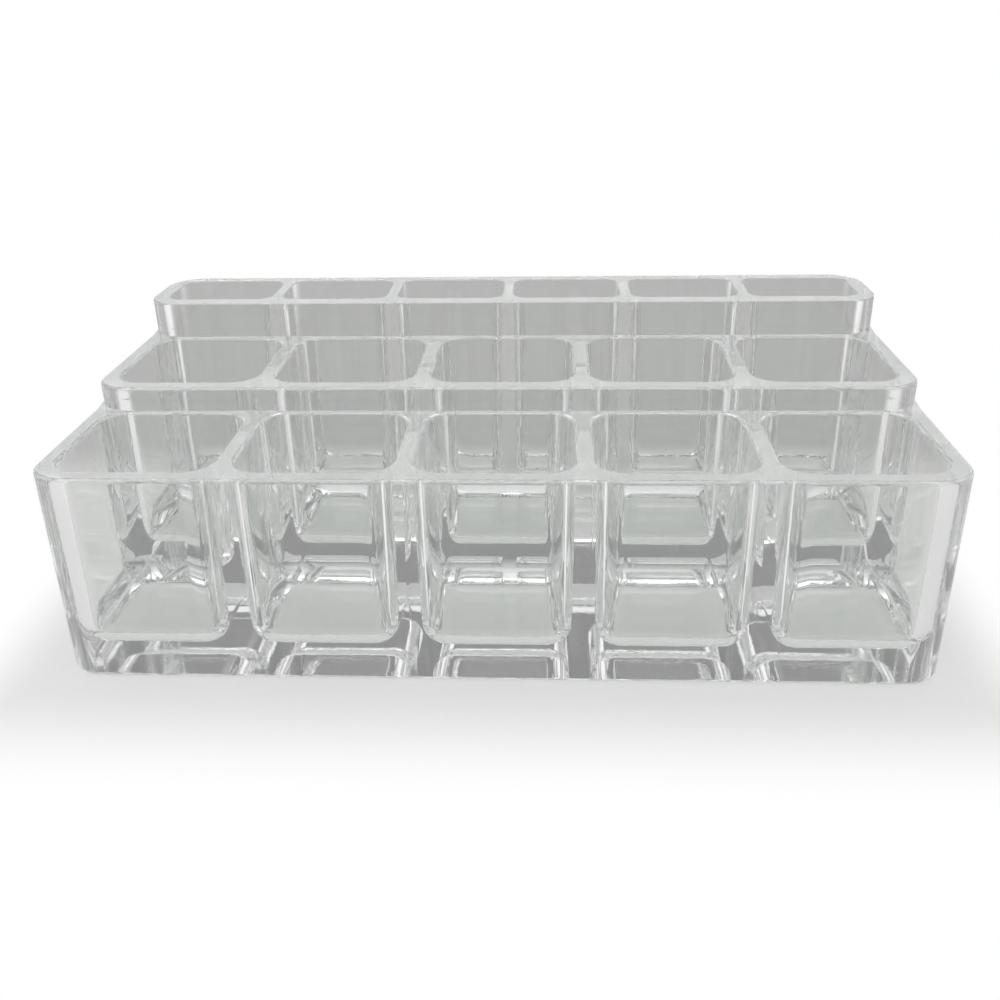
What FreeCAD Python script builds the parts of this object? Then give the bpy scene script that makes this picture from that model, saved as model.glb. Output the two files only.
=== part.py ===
import FreeCAD, Part
import math
import os

# Clear stepped vanity organizer: three rows of pockets on one thick base.
# The floor of the two rear rows lies higher than the floor of the front row.
# Millimetres, +Z up, front towards -Y, origin under the middle of the block.

# Outside of the block, taken at its foot
width = 228.0
outer_corner_radius = 10.0
outer_draft_deg = 0.5
foot_round = 1.5
rim_round = 1.0
back_rim_round = 0.4

# Heights
front_height = 57.0
middle_rise = 6.5
back_rise = 10.5
floor_thickness = 7.2
rear_floor_rise = 6.0

# Walls and pockets from front to back, taken at the rims
front_wall_thickness = 5.0
front_pocket_length = 40.4
front_ledge = 1.6
middle_wall_thickness = 6.0
middle_pocket_length = 41.0
middle_ledge = 3.0
back_row_wall_thickness = 6.2
back_pocket_length = 23.2
rear_wall_thickness = 4.2

# Walls and pockets from side to side, taken at the rims
side_wall_thickness = 4.2
wide_pocket_count = 5
wide_divider_thickness = 4.9
wide_pocket_radius = 7.5
wide_floor_fillet = 6.5
narrow_pocket_count = 6
narrow_divider_thickness = 3.4
narrow_pocket_radius = 5.0
narrow_floor_fillet = 4.0
pocket_draft_deg = 0.6

# Bonded seams lie this far past the end of the nearest corner fillet
seam_margin = 1.0

# Rounding takes at most this share of the wall that carries it,
# and a floor fillet at most this share of the pocket's corner radius at the floor
rounding_share = 0.4
fillet_share = 0.95

# Pocket cutters stand this far past the rim, and edges are matched to their place this closely
cutter_overshoot = 1.0
match_tolerance = 0.005

outer_slope = math.tan(math.radians(outer_draft_deg))
pocket_slope = math.tan(math.radians(pocket_draft_deg))
middle_height = front_height + middle_rise
back_height = middle_height + back_rise
half_width = width / 2

front_row_depth = front_wall_thickness + front_pocket_length + front_ledge
middle_row_depth = middle_wall_thickness + middle_pocket_length + middle_ledge
back_row_depth = back_row_wall_thickness + back_pocket_length + rear_wall_thickness
depth = front_row_depth + middle_row_depth + back_row_depth

# The outside leans out more at the tall back than at the front, so the foot is set off
# by half the difference to keep the whole block centred on the origin.
front_lean = front_height * outer_slope
rear_lean = back_height * outer_slope
front_face = (front_lean - rear_lean - depth) / 2
middle_face = front_face + front_row_depth
back_face = middle_face + middle_row_depth
rear_face = front_face + depth

rear_floor = floor_thickness + rear_floor_rise
pocket_radius_limit = max(wide_pocket_radius, narrow_pocket_radius)
seam_inset = max(outer_corner_radius, side_wall_thickness + pocket_radius_limit)
side_seam = half_width - seam_inset - seam_margin

# Longer than the block in every direction, for cutting boxes
reach = width + depth + back_height


class Row:
    """One row of pockets: its outer face, its heights and the plan of its pockets."""

    def __init__(
        self, face, face_height, height, floor, rim, wall, length, ledge, count, divider, radius, fillet
    ):
        self.face_foot = face + face_height * outer_slope
        self.height = height
        self.floor = floor
        self.deep_draft = (height - floor) * pocket_slope
        self.fillet = min(fillet, fillet_share * (radius - self.deep_draft))
        self.near = face + wall
        self.far = self.near + length
        self.count = count
        self.divider = divider
        self.radius = radius
        self.rim = min(rim, rounding_share * min(wall, divider, 2 * ledge))
        self.near_seam = self.near + radius + seam_margin
        self.far_seam = self.far - radius - seam_margin
        clear_width = width - 2 * side_wall_thickness - (count - 1) * divider
        self.pocket_width = clear_width / count

    def pocket_left(self, index):
        """Left edge of a pocket at the rim, counted from the left."""
        step = self.pocket_width + self.divider
        return -half_width + side_wall_thickness + index * step

    def divider_middle(self, index):
        """Centre line of the divider to the right of a pocket."""
        return self.pocket_left(index) + self.pocket_width + self.divider / 2


front_row = Row(
    front_face, 0.0, front_height, floor_thickness, rim_round, front_wall_thickness,
    front_pocket_length, front_ledge, wide_pocket_count, wide_divider_thickness,
    wide_pocket_radius, wide_floor_fillet,
)
middle_row = Row(
    middle_face, front_height, middle_height, rear_floor, rim_round, middle_wall_thickness,
    middle_pocket_length, middle_ledge, wide_pocket_count, wide_divider_thickness,
    wide_pocket_radius, wide_floor_fillet,
)
back_row = Row(
    back_face, middle_height, back_height, rear_floor, back_rim_round, back_row_wall_thickness,
    back_pocket_length, rear_wall_thickness, narrow_pocket_count, narrow_divider_thickness,
    narrow_pocket_radius, narrow_floor_fillet,
)
rows = (front_row, middle_row, back_row)
seam_height = max(row.floor + row.fillet for row in rows) + seam_margin


def rounded_rectangle(left, right, near, far, radius, growth, height):
    """Closed wire at a height: the rectangle pushed out all round by growth."""
    corners = (
        (right - radius, near + radius, -90),
        (right - radius, far - radius, 0),
        (left + radius, far - radius, 90),
        (left + radius, near + radius, 180),
    )
    grown = radius + growth
    arcs = []
    for x, y, start in corners:
        circle = Part.Circle(FreeCAD.Vector(x, y, height), FreeCAD.Vector(0, 0, 1), grown)
        arcs.append(circle.trim(math.radians(start), math.radians(start + 90)).toShape())
    edges = []
    for arc, following in zip(arcs, arcs[1:] + arcs[:1]):
        edges.append(arc)
        edges.append(Part.makeLine(arc.lastVertex().Point, following.firstVertex().Point))
    return Part.Wire(edges)


def drafted_block(left, right, near, far, radius, sections):
    """Solid between two rounded rectangles, each given as a growth and a height."""
    wires = [rounded_rectangle(left, right, near, far, radius, *section) for section in sections]
    return Part.makeLoft(wires, True, True)


def level_edges(solid, height):
    """Edges of a solid that lie wholly at one height."""
    found = []
    for edge in solid.Edges:
        box = edge.BoundBox
        if max(abs(box.ZMin - height), abs(box.ZMax - height)) < match_tolerance:
            found.append(edge)
    return found


def tier(row):
    """Outer block of a row, from the table to its rim and back to the rear face."""
    sections = ((0.0, 0.0), (row.height * outer_slope, row.height))
    block = drafted_block(
        -half_width, half_width, row.face_foot, rear_face, outer_corner_radius, sections
    )
    block = block.makeFillet(row.rim, level_edges(block, row.height))
    foot = min(foot_round, floor_thickness * rounding_share)
    return block.makeFillet(foot, level_edges(block, 0.0))


def pocket(row, index):
    """Room inside one pocket, standing a little past the rim so that it cuts clean."""
    left = row.pocket_left(index)
    top = row.height + cutter_overshoot
    sections = ((-row.deep_draft, row.floor), (cutter_overshoot * pocket_slope, top))
    room = drafted_block(
        left, left + row.pocket_width, row.near, row.far, row.radius, sections
    )
    return room.makeFillet(row.fillet, level_edges(room, row.floor))


def inner_rim_edges(body, row):
    """Top edges of the pockets of one row, in the body with the pockets cut out."""
    found = []
    side = half_width - side_wall_thickness + match_tolerance
    for edge in level_edges(body, row.height):
        box = edge.BoundBox
        in_width = -side < box.XMin and box.XMax < side
        in_depth = row.near - match_tolerance < box.YMin and box.YMax < row.far + match_tolerance
        if in_width and in_depth:
            found.append(edge)
    return found


def organizer_body():
    """The whole stepped block with its pockets and rounded rims."""
    body = tier(front_row).fuse([tier(middle_row), tier(back_row)]).removeSplitter()
    rooms = [pocket(row, index) for row in rows for index in range(row.count)]
    body = body.cut(rooms)
    for row in rows:
        body = body.makeFillet(row.rim, inner_rim_edges(body, row))
    return body.Solids[0]


def zone(left, right, near, far, bottom, top):
    """Upright box that one piece of the block is taken from."""
    corner = FreeCAD.Vector(left, near, bottom)
    return Part.makeBox(right - left, far - near, top - bottom, corner)


def wall_zones():
    """Zones of the base, the side walls and the four walls across the block."""
    low, high = seam_height, reach
    yield "base_plate", zone(-reach, reach, -reach, reach, -reach, low)
    yield "left_side_wall", zone(-reach, -side_seam, -reach, reach, low, high)
    yield "right_side_wall", zone(side_seam, reach, -reach, reach, low, high)
    bands = (
        ("front_wall", -reach, front_row.near_seam),
        ("middle_step_wall", front_row.far_seam, middle_row.near_seam),
        ("back_step_wall", middle_row.far_seam, back_row.near_seam),
        ("back_wall", back_row.far_seam, reach),
    )
    for name, near, far in bands:
        yield name, zone(-side_seam, side_seam, near, far, low, high)


def divider_zones():
    """Zones of the plain divider plates between the walls."""
    for row_name, row in zip(("front", "middle", "back"), rows):
        for index in range(row.count - 1):
            middle = row.divider_middle(index)
            half = row.pocket_width / 2
            box = zone(middle - half, middle + half, row.near_seam, row.far_seam, seam_height, reach)
            yield f"{row_name}_divider_{index + 1}", box


def main():
    os.makedirs("parts", exist_ok=True)
    body = organizer_body()
    zones = list(wall_zones()) + list(divider_zones())
    for name, box in zones:
        piece = body.common(box).Solids[0]
        piece.exportStep(f"parts/{name}.step")
        print(f"{name}: {piece.Volume / 1000:.2f} cm3")
    print(f"whole block: {body.Volume / 1000:.2f} cm3")


main()
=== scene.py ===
import math
import bmesh
import bpy
import numpy as np
from mathutils import Matrix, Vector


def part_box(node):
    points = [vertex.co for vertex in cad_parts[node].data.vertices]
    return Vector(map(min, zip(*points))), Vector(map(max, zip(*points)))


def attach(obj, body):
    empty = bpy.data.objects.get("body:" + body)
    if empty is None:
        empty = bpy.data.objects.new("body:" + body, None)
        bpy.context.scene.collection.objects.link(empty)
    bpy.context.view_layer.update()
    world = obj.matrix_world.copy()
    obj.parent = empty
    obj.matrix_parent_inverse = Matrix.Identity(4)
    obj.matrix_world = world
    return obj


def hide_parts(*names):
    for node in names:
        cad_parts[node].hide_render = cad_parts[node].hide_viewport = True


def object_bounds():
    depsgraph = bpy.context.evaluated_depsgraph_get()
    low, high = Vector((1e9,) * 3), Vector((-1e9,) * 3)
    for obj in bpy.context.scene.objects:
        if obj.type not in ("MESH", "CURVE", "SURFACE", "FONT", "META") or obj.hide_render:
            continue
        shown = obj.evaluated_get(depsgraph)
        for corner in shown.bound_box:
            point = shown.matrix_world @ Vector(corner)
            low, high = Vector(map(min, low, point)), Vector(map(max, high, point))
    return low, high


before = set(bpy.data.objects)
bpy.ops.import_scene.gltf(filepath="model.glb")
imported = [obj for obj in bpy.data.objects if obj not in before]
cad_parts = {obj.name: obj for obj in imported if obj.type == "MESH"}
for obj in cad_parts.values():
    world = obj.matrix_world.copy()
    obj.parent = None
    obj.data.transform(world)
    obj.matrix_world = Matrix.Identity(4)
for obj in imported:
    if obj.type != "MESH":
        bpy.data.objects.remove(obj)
cadLow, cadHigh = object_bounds()
print("frame loaded")

# Lengths in this script are millimetres and become metres where Blender gets them.
metre = 0.001

# Sizes of the block that the frame's boxes don't give
block = {
    "cornerRadius": 10.0,
    "outerDraft": 0.5,       # degrees that the outside leans out
    "pocketDraft": 0.6,      # degrees that the pockets open towards the rim
    "footRound": 1.5,
    "sideWall": 4.2,
    "seamMargin": 1.0,       # from the end of a corner fillet to the bonded seam
    "rimFade": 8.0,          # length over which a rim round dies out against the next step
}
rowSizes = {
    "front": {
        "count": 5, "wall": 5.0, "divider": 4.9, "radius": 7.5, "rim": 1.0, "floor": 7.2, "fillet": 6.5,
    },
    "middle": {
        "count": 5, "wall": 6.0, "divider": 4.9, "radius": 7.5, "rim": 1.0, "floor": 13.2, "fillet": 6.5,
    },
    "back": {
        "count": 6, "wall": 6.2, "divider": 3.4, "radius": 5.0, "rim": 0.4, "floor": 13.2, "fillet": 4.0,
    },
}
fineness = {
    "pocketArc": 20,         # faces round a pocket's corner
    "outerArc": 28,          # faces round an outer corner
    "round": 6,              # faces across a rim round, a floor fillet or the foot round
    "support": 0.12,         # flat strip beside a round that keeps its shading in place
    "weld": 0.0002,          # points closer than this are one
    "sharpAngle": 32.0,      # degrees from which an edge is shaded sharp
}


def nodeBox(node):
    low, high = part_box(node)
    return np.array(low) / metre, np.array(high) / metre


outerSlope = math.tan(math.radians(block["outerDraft"]))
pocketSlope = math.tan(math.radians(block["pocketDraft"]))
seamX = nodeBox("front_wall")[1][0]
seamZ = nodeBox("base_plate")[1][2]
halfWidth = nodeBox("base_plate")[1][0] - seamZ * outerSlope
rearFoot = nodeBox("base_plate")[1][1] - seamZ * outerSlope


def rowPlan(name, lowerHeight):
    # pocket edges, seams and heights of one row, read off its divider plates
    size = dict(rowSizes[name])
    plates = [nodeBox(f"{name}_divider_{k + 1}") for k in range(size["count"] - 1)]
    middles = np.array([(low[0] + high[0]) / 2 for low, high in plates])
    outer = halfWidth - block["sideWall"]
    size["left"] = np.concatenate([[-outer], middles + size["divider"] / 2])
    size["right"] = np.concatenate([middles - size["divider"] / 2, [outer]])
    size["height"] = plates[0][1][2]
    size["nearSeam"], size["farSeam"] = plates[0][0][1], plates[0][1][1]
    size["near"] = size["nearSeam"] - size["radius"] - block["seamMargin"]
    size["far"] = size["farSeam"] + size["radius"] + block["seamMargin"]
    size["foot"] = size["near"] - size["wall"] + lowerHeight * outerSlope
    return size


front = rowPlan("front", 0.0)
middle = rowPlan("middle", front["height"])
back = rowPlan("back", middle["height"])
rows = {"front": front, "middle": middle, "back": back}

# An outline is a closed plan path, one row of numbers per point. At height z a point lies at
# spot + into * (lean + slope * z), where into is the direction into the material.
spotColumns, intoColumns = slice(0, 2), slice(2, 4)
leanColumn, slopeColumn, rimColumn, stepColumn = 4, 5, 6, 7
# The step column marks a row's own face above the lower row, and the foot of a taller row behind.
plainFace, ownFace, tallerFace = 0, 1, 2


def run(spot, into, lean, rim, step=plainFace):
    spot, into = np.atleast_2d(spot), np.atleast_2d(into)
    rest = np.broadcast_to([*lean, rim, step], (len(spot), 4))
    return np.concatenate([spot, np.broadcast_to(into, spot.shape), rest], axis=1)


def arcRun(centre, radius, start, count, lean, rim, side):
    # anticlockwise quarter arc with a support point on the straight wall at each end;
    # side is 1 where the material lies outside the arc and -1 where it lies inside
    angle = np.radians(start + 90 * np.linspace(0, 1, count + 1))
    spoke = np.stack([np.cos(angle), np.sin(angle)], axis=1)
    along = np.stack([-np.sin(angle), np.cos(angle)], axis=1)
    spot = np.asarray(centre) + radius * spoke
    gap = fineness["support"]
    spot = np.concatenate([spot[:1] - gap * along[:1], spot, spot[-1:] + gap * along[-1:]])
    spoke = np.concatenate([spoke[:1], spoke, spoke[-1:]])
    return run(spot, side * spoke, lean, rim)


def pocketSides(row, k):
    # the four stretches of a pocket's edge, anticlockwise, cut where the bonded seams are
    x0, x1, y0, y1 = row["left"][k], row["right"][k], row["near"], row["far"]
    radius, rim = row["radius"], row["rim"]
    lean = (-row["height"] * pocketSlope, pocketSlope)

    def corner(x, y, start):
        return arcRun((x, y), radius, start, fineness["pocketArc"], lean, rim, 1)

    nearLeft = corner(x0 + radius, y0 + radius, 180)
    nearRight = corner(x1 - radius, y0 + radius, 270)
    farRight = corner(x1 - radius, y1 - radius, 0)
    farLeft = corner(x0 + radius, y1 - radius, 90)
    nothing = nearLeft[:0]
    outerLeft, outerRight = k == 0, k == row["count"] - 1

    def cut(outer, x, y, seamY, sideways, edgeways):
        # a seam point: on the divider's side, or on the cross wall next to a side wall
        if outer:
            return run((math.copysign(seamX, x), y), (0, edgeways), lean, rim)
        return run((x, seamY), (sideways, 0), lean, rim)

    nearLeftCut = cut(outerLeft, x0, y0, row["nearSeam"], -1, -1)
    nearRightCut = cut(outerRight, x1, y0, row["nearSeam"], 1, -1)
    farRightCut = cut(outerRight, x1, y1, row["farSeam"], 1, 1)
    farLeftCut = cut(outerLeft, x0, y1, row["farSeam"], -1, 1)
    # the corners next to a side wall belong to it, all others to the cross walls
    inLeft = (nothing, nothing) if outerLeft else (nearLeft, farLeft)
    inRight = (nothing, nothing) if outerRight else (nearRight, farRight)
    onLeft = (farLeft, nearLeft) if outerLeft else (nothing, nothing)
    onRight = (nearRight, farRight) if outerRight else (nothing, nothing)
    return {
        "near": np.concatenate([nearLeftCut, inLeft[0], inRight[0], nearRightCut]),
        "right": np.concatenate([nearRightCut, *onRight, farRightCut]),
        "far": np.concatenate([farRightCut, inRight[1], inLeft[1], farLeftCut]),
        "left": np.concatenate([farLeftCut, *onLeft, nearLeftCut]),
    }


for row in rows.values():
    row["sides"] = [pocketSides(row, k) for k in range(row["count"])]

outerLean = (0.0, -outerSlope)


def faceLine(y, into, rim, step=plainFace):
    # straight outer face of a cross wall, from the left seam to the right one
    return run([(-seamX, y), (seamX, y)], (0, into), outerLean, rim, step)


def sideLine(corner, nextCorner, rim):
    # right side of a step, from one fade length past its corner to the end of the next step's arc,
    # which is that corner's last but one point; the rim shrinks as the square of the way left to it
    y0, y1 = corner[-1, 1] + block["rimFade"], nextCorner[-2, 1]
    share = np.linspace(1, 0, fineness["round"] + 1)[:-1]
    fadeStart = y1 - block["rimFade"] - fineness["support"]
    y = np.concatenate([[y0, fadeStart], y1 - block["rimFade"] * share])
    line = run(np.stack([np.full(len(y), halfWidth), y], axis=1), (-1, 0), outerLean, rim)
    line[-len(share):, rimColumn] = rim * share**2
    return line


def outerCorner(y, start, rim):
    # right outer corner of the block, with its arc's centre at y
    radius = block["cornerRadius"]
    return arcRun((halfWidth - radius, y), radius, start, fineness["outerArc"], outerLean, rim, -1)


def frontCorner(row):
    # right front corner of a step, from the seam round to the side
    start = run((seamX, row["foot"]), (0, 1), outerLean, row["rim"])
    return np.concatenate([start, outerCorner(row["foot"] + block["cornerRadius"], -90, row["rim"])])


def stepped(part, step):
    part = part.copy()
    part[:, stepColumn] = step
    return part


frontEnd, middleEnd, backEnd = (frontCorner(row) for row in rows.values())
rearSeam = run((seamX, rearFoot), (0, -1), outerLean, back["rim"])
rearEnd = np.concatenate([outerCorner(rearFoot - block["cornerRadius"], 0, back["rim"]), rearSeam])
frontSide = sideLine(frontEnd, middleEnd, front["rim"])
middleSide = sideLine(middleEnd, backEnd, middle["rim"])


def mirrored(part):
    part = part[::-1].copy()
    part[:, [0, 2]] *= -1     # x of the spot and of the direction into the material
    return part


def closed(*runs):
    # joins runs into one outline; the edge that leaves each run's last point is a bonded seam
    seam = np.concatenate([np.arange(len(r)) == len(r) - 1 for r in runs])
    return np.concatenate(runs), seam


# outer runs of the right side wall, one per step: its corner, its side, and the next step's corner
outerRuns = {
    "front": np.concatenate([frontEnd, frontSide, stepped(middleEnd[-2::-1], tallerFace)]),
    "middle": np.concatenate(
        [stepped(middleEnd[:-1], ownFace), middleEnd[-1:], middleSide, stepped(backEnd[-2::-1], tallerFace)]
    ),
    "back": np.concatenate([stepped(backEnd[:-1], ownFace), backEnd[-1:], rearEnd]),
}


# A region is one upright part of a piece: outline, rim height, height of the step before it.
def nearRegion(face, row, lowerHeight=None):
    # cross wall in front of a row's pockets
    edges = [sides["near"][::-1] for sides in row["sides"][::-1]]
    return closed(face, *edges), row["height"], lowerHeight


def farRegion(face, row):
    # part of a cross wall behind a row's pockets
    edges = [sides["far"][::-1] for sides in row["sides"]]
    return closed(face, *edges), row["height"], None


def sideRegion(name, lowerHeight, mirror):
    # one step of a side wall
    row = rows[name]
    runs = [outerRuns[name], row["sides"][-1]["right"][::-1]]
    if mirror:
        runs = [mirrored(part) for part in runs]
    return closed(*runs), row["height"], lowerHeight


frontFace = faceLine(front["foot"], 1, front["rim"])
middleFace = faceLine(middle["foot"], 1, middle["rim"], ownFace)
backFace = faceLine(back["foot"], 1, back["rim"], ownFace)
rearFace = faceLine(rearFoot, -1, back["rim"])[::-1]
lowerHeights = {"front": None, "middle": front["height"], "back": middle["height"]}
walls = {
    "front_wall": [nearRegion(frontFace, front)],
    "middle_step_wall": [
        farRegion(stepped(middleFace[::-1], tallerFace), front),
        nearRegion(middleFace, middle, lowerHeights["middle"]),
    ],
    "back_step_wall": [
        farRegion(stepped(backFace[::-1], tallerFace), middle),
        nearRegion(backFace, back, lowerHeights["back"]),
    ],
    "back_wall": [farRegion(rearFace, back)],
}
for side, mirror in (("left", True), ("right", False)):
    walls[f"{side}_side_wall"] = [sideRegion(name, low, mirror) for name, low in lowerHeights.items()]
for name, row in rows.items():
    for k in range(row["count"] - 1):
        plate = closed(row["sides"][k]["right"][::-1], row["sides"][k + 1]["left"][::-1])
        walls[f"{name}_divider_{k + 1}"] = [(plate, row["height"], None)]
print("outlines ready")


def levels(outline, low, top, lowerHeight):
    # heights and rim offsets of an outline at each level:
    # foot, lower step, just under the rim, quarter-circle rim round, a little way onto the flat top
    rim = outline[:, rimColumn]
    gap = fineness["support"]
    phi = np.linspace(0, np.pi / 2, fineness["round"] + 1)[:, None]
    flat = np.zeros((1, len(rim)))
    feet = [low] if lowerHeight is None else [low, lowerHeight]
    heights = [flat + foot for foot in feet]
    heights += [top - rim[None] - gap, top - rim + rim * np.sin(phi), flat + top]
    offsets = [flat] * len(feet)
    offsets += [flat, rim * (1 - np.cos(phi)), rim[None] * (1 + gap)]
    heights, offsets = np.concatenate(heights), np.concatenate(offsets)
    taller = outline[:, stepColumn] == tallerFace
    heights[1:, taller] = top
    offsets[:, taller] = 0
    return heights, offsets


def surface(outline, heights, offsets):
    # every point of the outline at every level, leaning with height and moved in by the rim round
    shift = outline[:, leanColumn] + outline[:, slopeColumn] * heights + offsets
    spot = outline[None, :, spotColumns] + outline[None, :, intoColumns] * shift[..., None]
    return np.concatenate([spot, heights[..., None]], axis=2)


def skin(rowsUp, count):
    # quads of a closed outline carried up through its levels, by level and by point
    i = np.arange(count)[None, :]
    j = np.arange(rowsUp - 1)[:, None]
    following = (i + 1) % count
    return np.stack(
        [j * count + i, j * count + following, (j + 1) * count + following, (j + 1) * count + i], axis=2
    )


def endCaps(rowsUp, count):
    # point numbers of the first level, turned to face down, and of the last level
    return np.arange(count)[::-1], np.arange((rowsUp - 1) * count, rowsUp * count)


clearFace, bondFace = 0, 1    # material slots


class Shell:
    # collects the faces of one piece, in millimetres, with a material slot per face
    def __init__(self):
        self.points, self.faces, self.slots, self.count = [], [], [], 0
        self.marks = {"edge": [], "corner": []}

    def add(self, outline, points, quads, caps, slots, edge=0.0):
        # slots has one number per quad and then one per cap;
        # edge is 1 on rubbed rims, corner is 1 halfway round an upright corner and 0 on flat walls
        intoX, intoY = outline[:, intoColumns].T
        for name, mark in (("edge", edge), ("corner", np.abs(2 * intoX * intoY))):
            self.marks[name].append(np.broadcast_to(mark, points.shape[:2]).ravel())
        self.points.append(points.reshape(-1, 3))
        self.faces += (quads + self.count).tolist()
        self.faces += [(cap + self.count).tolist() for cap in caps]
        self.slots += slots
        self.count += len(self.points[-1])

    def build(self, name, materials):
        mesh = bpy.data.meshes.new(name)
        mesh.from_pydata((np.concatenate(self.points) * metre).tolist(), [], self.faces)
        for material in materials:
            mesh.materials.append(material)
        mesh.polygons.foreach_set("material_index", self.slots)
        for mark, values in self.marks.items():
            mesh.attributes.new(mark, "FLOAT", "POINT").data.foreach_set("value", np.concatenate(values))
        tool = bmesh.new()
        tool.from_mesh(mesh)
        bmesh.ops.remove_doubles(tool, verts=tool.verts, dist=fineness["weld"] * metre)
        bmesh.ops.dissolve_degenerate(tool, edges=tool.edges, dist=fineness["weld"] * metre)
        openEdges = sum(not edge.is_manifold for edge in tool.edges)
        tool.to_mesh(mesh)
        tool.free()
        mesh.shade_smooth()
        mesh.set_sharp_from_angle(angle=math.radians(fineness["sharpAngle"]))
        piece = bpy.data.objects.new(name, mesh)
        bpy.context.scene.collection.objects.link(piece)
        print(name, len(mesh.polygons), "faces,", openEdges, "open edges")
        return piece


def addRegion(shell, region):
    # one upright part of a wall, from the base seam to its rim
    (outline, seam), top, lowerHeight = region
    heights, offsets = levels(outline, seamZ, top, lowerHeight)
    rowsUp, count = heights.shape
    step = outline[:, stepColumn]
    following = np.roll(step, -1)
    keep = np.ones((rowsUp - 1, count), bool)
    keep[:, (step == tallerFace) & (following == tallerFace)] = False
    keep[0, (step == ownFace) & (following == ownFace)] = False
    slots = np.broadcast_to(np.where(seam, bondFace, clearFace), keep.shape)[keep].tolist()
    lowCap, topCap = endCaps(rowsUp, count)
    # rubbed along the rim rounds, most where the round faces up and outwards
    share = offsets / np.maximum(outline[:, rimColumn], fineness["weld"])
    edge = np.sin(np.pi * np.clip(share, 0, 1))
    points = surface(outline, heights, offsets)
    quads = skin(rowsUp, count)[keep]
    shell.add(outline, points, quads, [lowCap, topCap], slots + [bondFace, clearFace], edge)


def addBaseTop(shell, region):
    # the part of the base's upper face that a wall is bonded to
    (outline, _), _, _ = region
    flat = np.zeros((1, len(outline)))
    whole = np.arange(len(outline))
    shell.add(outline, surface(outline, flat + seamZ, flat), np.empty((0, 4), int), [whole], [bondFace])


firstLevel, lastLevel = 0, 1


def addRing(shell, outline, heights, offsets, capLevel):
    # closed ring of clear faces through the given levels, with a flat cap on its first or last level
    heights = np.broadcast_to(heights[:, None], (len(heights), len(outline)))
    quads = skin(*heights.shape).reshape(-1, 4)
    cap = endCaps(*heights.shape)[capLevel]
    points = surface(outline, heights, offsets[:, None])
    shell.add(outline, points, quads, [cap], [clearFace] * (len(quads) + 1))


def addPocketFoot(shell, row, k):
    # the foot of a pocket inside the base: drafted wall, quarter-circle fillet, flat floor
    outline = np.concatenate([row["sides"][k][side][:-1] for side in ("near", "right", "far", "left")])
    gap, fillet, floor = fineness["support"], row["fillet"], row["floor"]
    phi = np.linspace(0, np.pi / 2, fineness["round"] + 1)
    heights = np.concatenate([[seamZ, floor + fillet + gap], floor + fillet * (1 - np.sin(phi)), [floor]])
    offsets = -np.concatenate([[0, 0], fillet * (1 - np.cos(phi)), [fillet + gap]])
    addRing(shell, outline, heights, offsets, lastLevel)


def addFoot(shell, outline):
    # outside of the base: flat underside, quarter-circle foot round, drafted side up to the seam
    gap, foot = fineness["support"], block["footRound"]
    phi = np.linspace(0, np.pi / 2, fineness["round"] + 1)
    heights = np.concatenate([[0], foot * (1 - np.cos(phi)), [foot + gap, seamZ]])
    offsets = np.concatenate([[foot + gap], foot * (1 - np.sin(phi)), [0, 0]])
    addRing(shell, outline, heights, offsets, firstLevel)


class Nodes:
    # shorthand for adding and joining shader nodes
    def __init__(self, tree):
        self.tree = tree
        tree.nodes.clear()

    def add(self, kind, inputs=None, **settings):
        node = self.tree.nodes.new(kind)
        for key, value in settings.items():
            setattr(node, key, value)
        for key, value in (inputs or {}).items():
            if isinstance(value, bpy.types.NodeSocket):
                self.tree.links.new(value, node.inputs[key])
            else:
                node.inputs[key].default_value = value
        return node

    def calc(self, operation, *values, clamp=False):
        node = self.add("ShaderNodeMath", dict(enumerate(values)), operation=operation, use_clamp=clamp)
        return node.outputs[0]

    def ranged(self, value, start, end, low, high, blend="LINEAR"):
        limits = {"Value": value, "From Min": start, "From Max": end, "To Min": low, "To Max": high}
        return self.add("ShaderNodeMapRange", limits, interpolation_type=blend).outputs["Result"]

    def mixedColour(self, share, first, second):
        colours = {"Factor": share, "A": first, "B": second}
        return self.add("ShaderNodeMix", colours, data_type="RGBA").outputs["Result"]

    def mixedShader(self, share, first, second):
        shaders = {0: share, 1: first.outputs[0], 2: second.outputs[0]}
        return self.add("ShaderNodeMixShader", shaders)


def newMaterial(name):
    material = bpy.data.materials.new(name)
    material.use_nodes = True
    return material, Nodes(material.node_tree)


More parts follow.
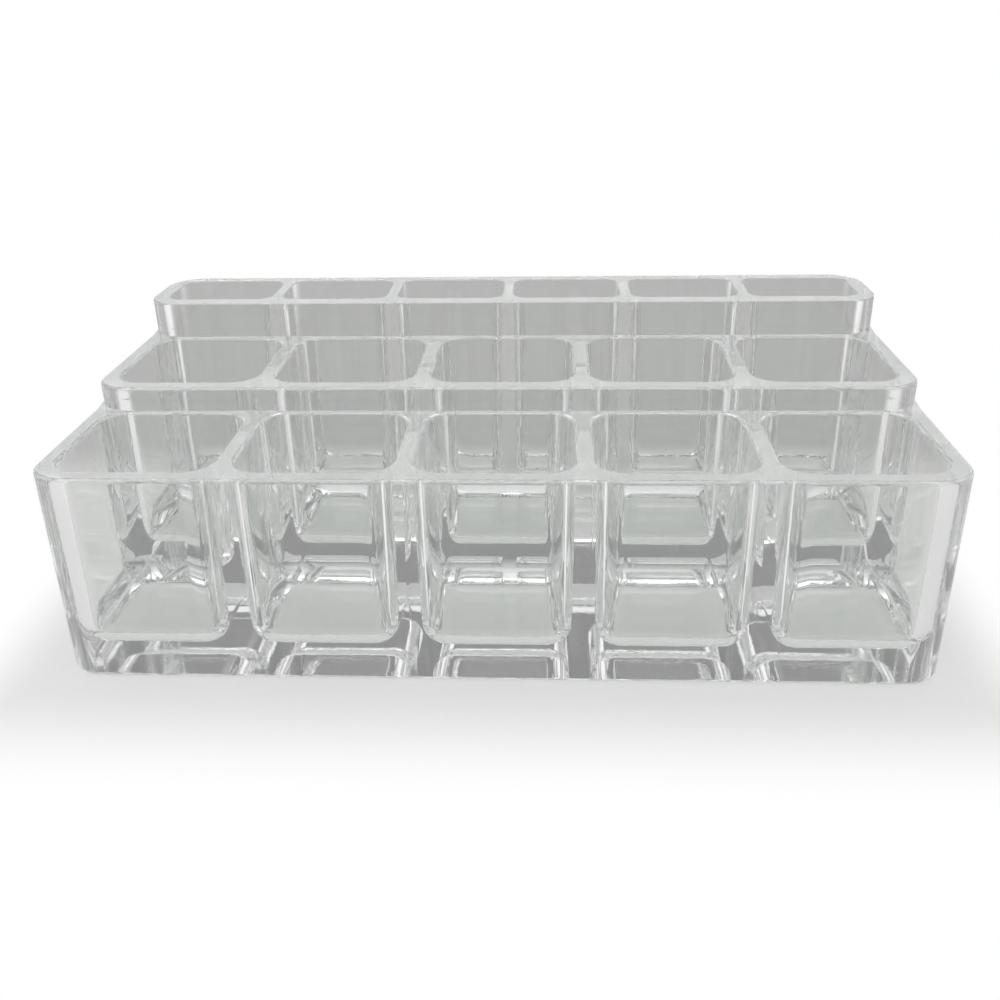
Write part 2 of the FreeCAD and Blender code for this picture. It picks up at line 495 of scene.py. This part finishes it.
plastic = {
    "tint": (0.905, 0.912, 0.907, 1.0),         # light that each face lets through, squared
    "mirror": (0.68, 0.71, 0.69, 1.0),          # tint of the faces' head-on reflections
    "index": 1.49,
    "shadowTint": (0.930, 0.938, 0.933, 1.0),   # light that each wall lets through to what is behind it
    "caught": (10.0, 16.0),                     # bounces inside the walls over which light is lost to haze
    # a noise is given by its scale per metre and its detail, and then its stretch and slant, if any
    "patchNoise": (90.0, 6.0),
    "patches": (0.5, 0.75),                     # noise from the clean to the most rubbed patches
    "haze": (0.0, 0.025),                       # roughness of the clean and the rubbed patches
    "scratch": 0.12,                            # roughness that a scratch adds
    "scratchEdge": (0.70, 0.74),                # noise over which a scratch begins
    "scratchNoises": (                          # two families of long thin scratches
        (1.0, 1.0, (60, 1600, 900), (0.5, 0.3, 0.6)),
        (1.0, 1.0, (1700, 50, 1100), (-0.4, 0.7, -0.3)),
    ),
    "rimNoise": (260.0, 4.0),
    "rimPatches": (0.35, 0.65),                 # noise from the least to the most rubbed stretch of a rim
    "rimLeast": 0.3,                            # rub left on the least rubbed stretch
    "rimWear": 0.10,                            # roughness that the rubbed rims add
    "rimClear": 0.78,                           # clearness left where a rim is rubbed most
    "speck": (0.30, 0.30, 0.28, 1.0),           # dust and tiny inclusions
    "speckScale": 95.0,
    "speckEdge": (0.025, 0.035),                # share of a cell that its speck fills
    "speckChosen": (0.80, 0.81),                # the cells above this have a speck
    "lineNoise": (1.0, 2.0, (700, 700, 14)),    # upright mould marks, fine across and long up the walls
    "lineDepth": 0.1,
    "drawLines": (0.02, 0.22),                  # their strength on flat walls and in corners
    "waveNoise": (55.0, 1.0),
    "waveDepth": 1.0,
    "waves": 0.008,                             # strength of the slow waves in the moulded faces
}


def clearPlasticMaterial():
    material, n = newMaterial("clearPlastic")
    place = n.add("ShaderNodeTexCoord").outputs["Object"]

    def noise(scale, detail, stretch=(1, 1, 1), turn=(0, 0, 0)):
        spread = n.add("ShaderNodeMapping", {"Vector": place, "Scale": stretch, "Rotation": turn})
        settings = {"Vector": spread.outputs[0], "Scale": scale, "Detail": detail}
        return n.add("ShaderNodeTexNoise", settings).outputs["Fac"]

    edge = n.add("ShaderNodeAttribute", attribute_name="edge").outputs["Fac"]
    rubs = n.ranged(noise(*plastic["rimNoise"]), *plastic["rimPatches"], plastic["rimLeast"], 1.0)
    rubbed = n.calc("MULTIPLY", edge, rubs)
    rough = n.ranged(noise(*plastic["patchNoise"]), *plastic["patches"], *plastic["haze"])
    rough = n.calc("MAXIMUM", rough, n.calc("MULTIPLY", rubbed, plastic["rimWear"]))
    for streaks in plastic["scratchNoises"]:
        scratch = n.ranged(noise(*streaks), *plastic["scratchEdge"], 0.0, plastic["scratch"])
        rough = n.calc("MAXIMUM", rough, scratch)

    # specks are the small hearts of scattered cells
    cells = n.add("ShaderNodeTexVoronoi", {"Vector": place, "Scale": plastic["speckScale"]}).outputs
    heart = n.ranged(cells["Distance"], *plastic["speckEdge"], 1.0, 0.0)
    draw = n.add("ShaderNodeSeparateColor", {0: cells["Color"]}).outputs[0]
    chosen = n.ranged(draw, *plastic["speckChosen"], 0.0, 1.0)
    colour = n.mixedColour(n.calc("MULTIPLY", heart, chosen), plastic["tint"], plastic["speck"])

    slow = n.add(
        "ShaderNodeBump",
        {
            "Height": noise(*plastic["waveNoise"]),
            "Strength": plastic["waves"],
            "Distance": plastic["waveDepth"] * metre,
        },
    )
    corner = n.add("ShaderNodeAttribute", attribute_name="corner").outputs["Fac"]
    fine = n.add(
        "ShaderNodeBump",
        {
            "Height": noise(*plastic["lineNoise"]),
            "Strength": n.ranged(corner, 0.0, 1.0, *plastic["drawLines"]),
            "Distance": plastic["lineDepth"] * metre,
            "Normal": slow.outputs["Normal"],
        },
    )
    body = n.add(
        "ShaderNodeBsdfPrincipled",
        {
            "Base Color": colour,
            "IOR": plastic["index"],
            "Specular Tint": plastic["mirror"],
            "Transmission Weight": n.ranged(rubbed, 0.0, 1.0, 1.0, plastic["rimClear"]),
            "Roughness": rough,
            "Normal": fine.outputs["Normal"],
        },
    )
    # light caught between the walls ends up scattered by the haze in them
    path = n.add("ShaderNodeLightPath").outputs
    caught = n.ranged(path["Ray Depth"], *plastic["caught"], 0.0, 1.0)
    inside = n.mixedShader(caught, body, n.add("ShaderNodeBsdfDiffuse", {"Color": colour}))
    # lamp light and light scattered by the table cross the walls unbent, so they are counted once
    lighting = n.calc("MAXIMUM", path["Is Shadow Ray"], path["Is Diffuse Ray"])
    passing = n.add("ShaderNodeBsdfTransparent", {"Color": plastic["shadowTint"]})
    whole = n.mixedShader(lighting, inside, passing)
    n.add("ShaderNodeOutputMaterial", {"Surface": whole.outputs[0]})
    return material


def solventBondMaterial():
    # a bonded seam has the same index on both sides, so light crosses it unbent
    material, n = newMaterial("solventBond")
    clear = n.add("ShaderNodeBsdfTransparent", {"Color": (1.0, 1.0, 1.0, 1.0)})
    n.add("ShaderNodeOutputMaterial", {"Surface": clear.outputs[0]})
    return material


materials = [clearPlasticMaterial(), solventBondMaterial()]
print("materials ready")


def finishPiece(shell, node):
    piece = shell.build("clear_" + node, materials)
    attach(piece, "root")
    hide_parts(node)


for node, regions in walls.items():
    wall = Shell()
    for region in regions:
        addRegion(wall, region)
    finishPiece(wall, node)

base = Shell()
footRight = np.concatenate([frontEnd, frontSide, middleEnd[-2:], middleSide, backEnd[-2:], rearEnd])
addFoot(base, np.concatenate([footRight, mirrored(footRight)]))
for regions in walls.values():
    for region in regions:
        addBaseTop(base, region)
for row in rows.values():
    for k in range(row["count"]):
        addPocketFoot(base, row, k)
finishPiece(base, "base_plate")
print("pieces ready")

table = {
    "size": 8000.0,
    "backdrop": 250.0,       # height of the low backdrop along the far edge of the table
    "gap": 0.15,             # the underside stays this far off the table, as dust and warp leave it
    "colour": (0.82, 0.82, 0.815),
    "grainNoise": (400.0, 3.0),           # scale per metre and detail
    "grain": 0.02,           # share by which the grain lightens and darkens the colour
    "roughness": 0.8,
    "shade": (0.54, 0.54, 0.535, 1.0),    # painted shade: the table's colour darkened behind the block, standing in for the shade there
    "paintedShadeFrom": (0.8, 1.4),              # where the painted shade begins, in shares of half the block's depth
    "spread": 0.20,          # the painted shade widens by this share of its length on either side
    # distances from the block over which the table goes over into plain white,
    # first as the camera sees it, then as mirroring and clear faces show it
    "whiteBefore": ((3.0, 45.0), (3.0, 45.0)),
    "whiteBeside": ((4.0, 30.0), (60.0, 260.0)),
    "whiteBehind": ((90.0, 150.0), (330.0, 430.0)),
}


def whiteShare(n, x, y):
    # 0 on the table near the block, 1 where camera, mirror and glass rays see plain white
    halfX, halfY = cadHigh[0], cadHigh[1]
    before = n.calc("MULTIPLY_ADD", y, -1.0, -halfY, clamp=True)
    behind = n.calc("SUBTRACT", y, halfY, clamp=True)
    shadeWidth = n.calc("MULTIPLY_ADD", behind, table["spread"], halfX)
    beside = n.calc("SUBTRACT", n.calc("ABSOLUTE", x), shadeWidth, clamp=True)
    path = n.add("ShaderNodeLightPath").outputs
    inClear = n.calc("MAXIMUM", path["Is Glossy Ray"], path["Is Transmission Ray"])
    white = 0.0
    for distance, key in ((before, "whiteBefore"), (beside, "whiteBeside"), (behind, "whiteBehind")):
        for (near, far), seen in zip(table[key], (path["Is Camera Ray"], inClear)):
            faded = n.ranged(distance, near * metre, far * metre, 0.0, seen, "SMOOTHSTEP")
            white = n.calc("MAXIMUM", white, faded)
    return white


def paleTableMaterial():
    material, n = newMaterial("paleTable")
    place = n.add("ShaderNodeTexCoord").outputs["Object"]
    axes = n.add("ShaderNodeSeparateXYZ", {"Vector": place}).outputs
    scale, detail = table["grainNoise"]
    noise = n.add("ShaderNodeTexNoise", {"Vector": place, "Scale": scale, "Detail": detail})
    dark, light = ((*(c * (1 + sign * table["grain"]) for c in table["colour"]), 1.0) for sign in (-1, 1))
    pale = n.mixedColour(noise.outputs["Fac"], dark, light)
    # painted shade: the table's colour goes over to a darker grey behind the block
    paintedShadeFrom, paintedShadeFull = (share * cadHigh[1] for share in table["paintedShadeFrom"])
    colour = n.mixedColour(n.ranged(axes["Y"], paintedShadeFrom, paintedShadeFull, 0.0, 1.0), pale, table["shade"])
    cover = n.add("ShaderNodeBsdfPrincipled", {"Base Color": colour, "Roughness": table["roughness"]})
    white = n.add("ShaderNodeEmission", {"Color": (1.0, 1.0, 1.0, 1.0), "Strength": 1.0})
    whole = n.mixedShader(whiteShare(n, axes["X"], axes["Y"]), cover, white)
    n.add("ShaderNodeOutputMaterial", {"Surface": whole.outputs[0]})
    return material


def makeFloor():
    # a flat sheet with a low upright strip along its far edge
    half, drop, rise = (v * metre for v in (table["size"] / 2, -table["gap"], table["backdrop"]))
    sheet = [(-half, -half, drop), (half, -half, drop), (half, half, drop), (-half, half, drop)]
    strip = [(half, half, rise), (-half, half, rise)]
    mesh = bpy.data.meshes.new("floor")
    mesh.from_pydata(sheet + strip, [], [(0, 1, 2, 3), (3, 2, 4, 5)])
    mesh.materials.append(paleTableMaterial())
    floor = bpy.data.objects.new("floor", mesh)
    bpy.context.scene.collection.objects.link(floor)


# place and target of each lamp, size across and up, power in watts
lamps = {
    "topSoftbox": ((-100, -100, 1200), (0, 0, 0), (1300, 1100), 5.4),
    "rimLight": ((0, 3000, 1073), (0, 0, 60), (6000, 780), 11.0),   # mirrored by the rims, not by the base
    "frontFill": ((-700, -900, 900), (0, 0, 40), (700, 700), 1.0),
}


def areaLamp(name, place, target, size, power):
    data = bpy.data.lights.new(name, "AREA")
    data.shape = "RECTANGLE"
    data.size, data.size_y = size[0] * metre, size[1] * metre
    data.energy = power
    lamp = bpy.data.objects.new(name, data)
    away = np.array(place, float) - np.array(target, float)
    behind = away / np.linalg.norm(away)
    steep = abs(behind[2]) > math.hypot(behind[0], behind[1])
    across = np.cross((0, 1, 0) if steep else (0, 0, 1), behind)
    across /= np.linalg.norm(across)
    turn = np.eye(4)
    turn[:3, :3] = np.stack([across, np.cross(behind, across), behind], axis=1)
    turn[:3, 3] = np.array(place) * metre
    lamp.matrix_world = Matrix(turn.tolist())
    bpy.context.scene.collection.objects.link(lamp)


# brightness of the room by height, as the sine of the elevation and a grey
room = ((0.02, 0.80), (0.14, 0.30), (0.55, 0.30), (0.80, 0.90))


def makeRoom():
    world = bpy.data.worlds.new("room")
    bpy.context.scene.world = world
    world.use_nodes = True
    n = Nodes(world.node_tree)
    aim = n.add("ShaderNodeSeparateXYZ", {"Vector": n.add("ShaderNodeTexCoord").outputs["Generated"]})
    shade = n.add("ShaderNodeValToRGB", {"Fac": aim.outputs["Z"]})
    stops = shade.color_ramp.elements
    while len(stops) < len(room):
        stops.new(room[len(stops)][0])
    for stop, (height, grey) in zip(stops, room):
        stop.position, stop.color = height, (grey, grey, grey, 1.0)
    sky = n.add("ShaderNodeBackground", {"Color": shade.outputs["Color"], "Strength": 1.0})
    n.add("ShaderNodeOutputWorld", {"Surface": sky.outputs[0]})


# camera fitted to the photographed edges, with angles in degrees, and focus and centre in pixels
view = {
    "place": (14.175, -297.714, 161.270),
    "yaw": -3.215,
    "pitch": 25.266,
    "roll": -1.141,
    "pixels": 1000,
    "focus": 1080.377,
    "centre": (496.454, 501.371),
    "sensor": 36.0,
    "clip": (10.0, 50000.0),
}


def turned(axis, degrees):
    return np.array(Matrix.Rotation(math.radians(degrees), 3, axis))


def makeCamera():
    data = bpy.data.cameras.new("camera")
    data.sensor_width = view["sensor"]
    data.lens = view["sensor"] * view["focus"] / view["pixels"]
    middlePixel = (view["pixels"] - 1) / 2
    data.shift_x = (middlePixel - view["centre"][0]) / view["pixels"]
    data.shift_y = (view["centre"][1] - middlePixel) / view["pixels"]
    data.clip_start, data.clip_end = (distance * metre for distance in view["clip"])
    camera = bpy.data.objects.new("camera", data)
    levelView = np.array([[1, 0, 0], [0, 0, -1], [0, 1, 0]], float)
    turn = turned("Z", view["roll"]) @ turned("X", view["pitch"]) @ levelView @ turned("Z", view["yaw"])
    pose = np.eye(4)
    pose[:3, 0], pose[:3, 1], pose[:3, 2] = turn[0], -turn[1], -turn[2]
    pose[:3, 3] = np.array(view["place"]) * metre
    camera.matrix_world = Matrix(pose.tolist())
    bpy.context.scene.collection.objects.link(camera)
    bpy.context.scene.camera = camera


makeFloor()
for name, lamp in lamps.items():
    areaLamp(name, *lamp)
makeRoom()
makeCamera()
scene = bpy.context.scene
scene.view_settings.view_transform = "Standard"
scene.cycles.max_bounces = 32
scene.cycles.transmission_bounces = 32
scene.cycles.glossy_bounces = 16
scene.cycles.transparent_max_bounces = 96
print("stage ready")
